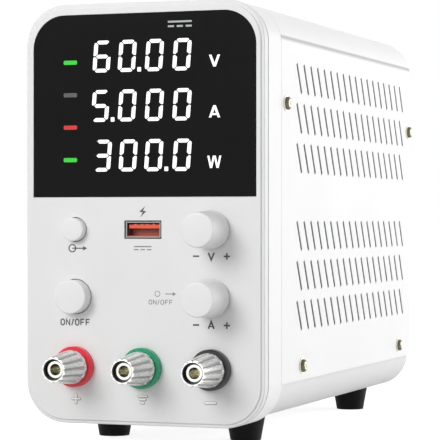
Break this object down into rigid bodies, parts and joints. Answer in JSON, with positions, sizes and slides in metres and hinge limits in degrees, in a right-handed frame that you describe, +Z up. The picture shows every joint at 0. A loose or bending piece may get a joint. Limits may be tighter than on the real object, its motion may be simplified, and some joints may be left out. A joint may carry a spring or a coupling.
{
  "type": "bench power supply",
  "caption": "Tall bench power supply with a readout window, push-and-turn knobs, push buttons, a USB outlet, binding posts, a slotted wrapped cover and a rear fan.",
  "frame": {"origin": "under the middle of the whole object, on the surface that the feet stand on", "axes": "+X to the right seen from the front, +Y from the front panel to the rear, +Z up"},
  "size_m": [0.0942, 0.2194, 0.1575],
  "materials": {
    "panel_grey": "fine satin moulding, light grey",
    "frame_white": "satin white moulding",
    "cover_white": "white powder coat",
    "tray_grey": "light grey powder coat",
    "rear_white": "white powder coat",
    "window_black": "polished black",
    "knob_grey": "satin light grey",
    "post_red": "moulded red",
    "post_green": "moulded green",
    "post_black": "moulded black",
    "cap_nickel": "satin nickel plate",
    "stud_nickel": "nickel plated brass",
    "screw_nickel": "nickel plated steel",
    "rubber_black": "moulded rubber",
    "usb_steel": "tinned steel",
    "usb_orange": "moulded orange red",
    "board_green": "solder mask",
    "module_grey": "moulded grey",
    "switch_black": "moulded black",
    "encoder_steel": "tinned steel",
    "shaft_aluminium": "turned",
    "fan_black": "moulded black",
    "guard_nickel": "bright nickel plate",
    "inlet_black": "moulded black",
    "contact_brass": "tinned brass",
    "fuse_glass": "glass with metal ends",
    "slider_red": "moulded red",
    "ferrite_grey": "ground ferrite",
    "winding_copper": "enamelled copper under tape",
    "can_black": "sleeved can",
    "sink_aluminium": "extruded"
  },
  "bodies": {
    "base": {"front_panel": "panel_grey", "front_frame": "frame_white", "display_window": "window_black", "top_cover": "cover_white", "bottom_chassis": "tray_grey", "rear_panel": "rear_white", "rubber_feet": "rubber_black", "foot_screws": "screw_nickel", "casing_screws": "screw_nickel", "housing_screws": "screw_nickel", "voltage_encoder": "encoder_steel", "current_encoder": "encoder_steel", "output_switch": "switch_black", "power_switch": "switch_black", "usb_shell": "usb_steel", "usb_tongue": "usb_orange", "positive_collar": "post_red", "ground_collar": "post_green", "negative_collar": "post_black", "positive_stud": "stud_nickel", "ground_stud": "stud_nickel", "negative_stud": "stud_nickel", "post_insulators": "switch_black", "post_nuts": "stud_nickel", "control_board": "board_green", "voltage_readout": "module_grey", "current_readout": "module_grey", "power_readout": "module_grey", "fan_frame": "fan_black", "fan_guard": "guard_nickel", "fan_screws": "screw_nickel", "inlet_housing": "inlet_black", "inlet_pins": "contact_brass", "voltage_selector": "switch_black", "main_board": "board_green", "board_standoffs": "contact_brass", "transformer_core": "ferrite_grey", "transformer_winding": "winding_copper", "input_capacitors": "can_black", "output_choke": "winding_copper", "heat_sinks": "sink_aluminium"},
    "voltage_plunger": {"voltage_push_rod": "shaft_aluminium"},
    "voltage_dial": {"voltage_knob": "knob_grey", "voltage_shaft": "shaft_aluminium"},
    "current_plunger": {"current_push_rod": "shaft_aluminium"},
    "current_dial": {"current_knob": "knob_grey", "current_shaft": "shaft_aluminium"},
    "output_key": {"output_button": "knob_grey"},
    "power_key": {"power_button": "knob_grey", "power_switch_plunger": "switch_black"},
    "positive_clamp": {"positive_clamp_washer": "stud_nickel"},
    "positive_nut": {"positive_cap": "cap_nickel"},
    "ground_clamp": {"ground_clamp_washer": "stud_nickel"},
    "ground_nut": {"ground_cap": "cap_nickel"},
    "negative_clamp": {"negative_clamp_washer": "stud_nickel"},
    "negative_nut": {"negative_cap": "cap_nickel"},
    "fan_wheel": {"fan_rotor": "fan_black"},
    "fuse_tray": {"fuse_drawer": "inlet_black", "fuse": "fuse_glass"},
    "selector": {"selector_slider": "slider_red"}
  },
  "joints": [
    {"name": "voltage_push", "type": "slide", "parent": "base", "child": "voltage_plunger", "axis": [0, 1, 0], "range_m": [0, 0.0005], "stiffness_N_per_m": 2000, "springref_m": -0.002},
    {"name": "voltage_turn", "type": "hinge", "parent": "voltage_plunger", "child": "voltage_dial", "pos_m": [0.026, -0.0905, 0.0769], "axis": [0, 1, 0], "continuous": true},
    {"name": "current_push", "type": "slide", "parent": "base", "child": "current_plunger", "axis": [0, 1, 0], "range_m": [0, 0.0005], "stiffness_N_per_m": 2000, "springref_m": -0.002},
    {"name": "current_turn", "type": "hinge", "parent": "current_plunger", "child": "current_dial", "pos_m": [0.026, -0.0905, 0.0529], "axis": [0, 1, 0], "continuous": true},
    {"name": "output_push", "type": "slide", "parent": "base", "child": "output_key", "axis": [0, 1, 0], "range_m": [0, 0.0006], "stiffness_N_per_m": 1500, "springref_m": -0.0015},
    {"name": "power_push", "type": "slide", "parent": "base", "child": "power_key", "axis": [0, 1, 0], "range_m": [0, 0.003], "stiffness_N_per_m": 800, "springref_m": -0.004},
    {"name": "positive_back_off", "type": "slide", "parent": "base", "child": "positive_clamp", "axis": [0, -1, 0], "range_m": [0, 0.00301]},
    {"name": "positive_unscrew", "type": "hinge", "parent": "positive_clamp", "child": "positive_nut", "pos_m": [-0.026, -0.0905, 0.0279], "axis": [0, -1, 0], "range_deg": [0, 1440]},
    {"name": "ground_back_off", "type": "slide", "parent": "base", "child": "ground_clamp", "axis": [0, -1, 0], "range_m": [0, 0.00301]},
    {"name": "ground_unscrew", "type": "hinge", "parent": "ground_clamp", "child": "ground_nut", "pos_m": [0, -0.0905, 0.0279], "axis": [0, -1, 0], "range_deg": [0, 1440]},
    {"name": "negative_back_off", "type": "slide", "parent": "base", "child": "negative_clamp", "axis": [0, -1, 0], "range_m": [0, 0.00301]},
    {"name": "negative_unscrew", "type": "hinge", "parent": "negative_clamp", "child": "negative_nut", "pos_m": [0.026, -0.0905, 0.0279], "axis": [0, -1, 0], "range_deg": [0, 1440]},
    {"name": "fan_spin", "type": "hinge", "parent": "base", "child": "fan_wheel", "pos_m": [0, 0.0945, 0.1115], "axis": [0, 1, 0], "continuous": true},
    {"name": "fuse_drawer_pull", "type": "slide", "parent": "base", "child": "fuse_tray", "axis": [0, 1, 0], "range_m": [0, 0.016]},
    {"name": "selector_slide", "type": "slide", "parent": "base", "child": "selector", "axis": [1, 0, 0], "range_m": [0, 0.005]}
  ],
  "couplings": [
    {"joint": "positive_back_off", "follows": "positive_unscrew", "m_per_rad": 0.00011937},
    {"joint": "ground_back_off", "follows": "ground_unscrew", "m_per_rad": 0.00011937},
    {"joint": "negative_back_off", "follows": "negative_unscrew", "m_per_rad": 0.00011937}
  ]
}
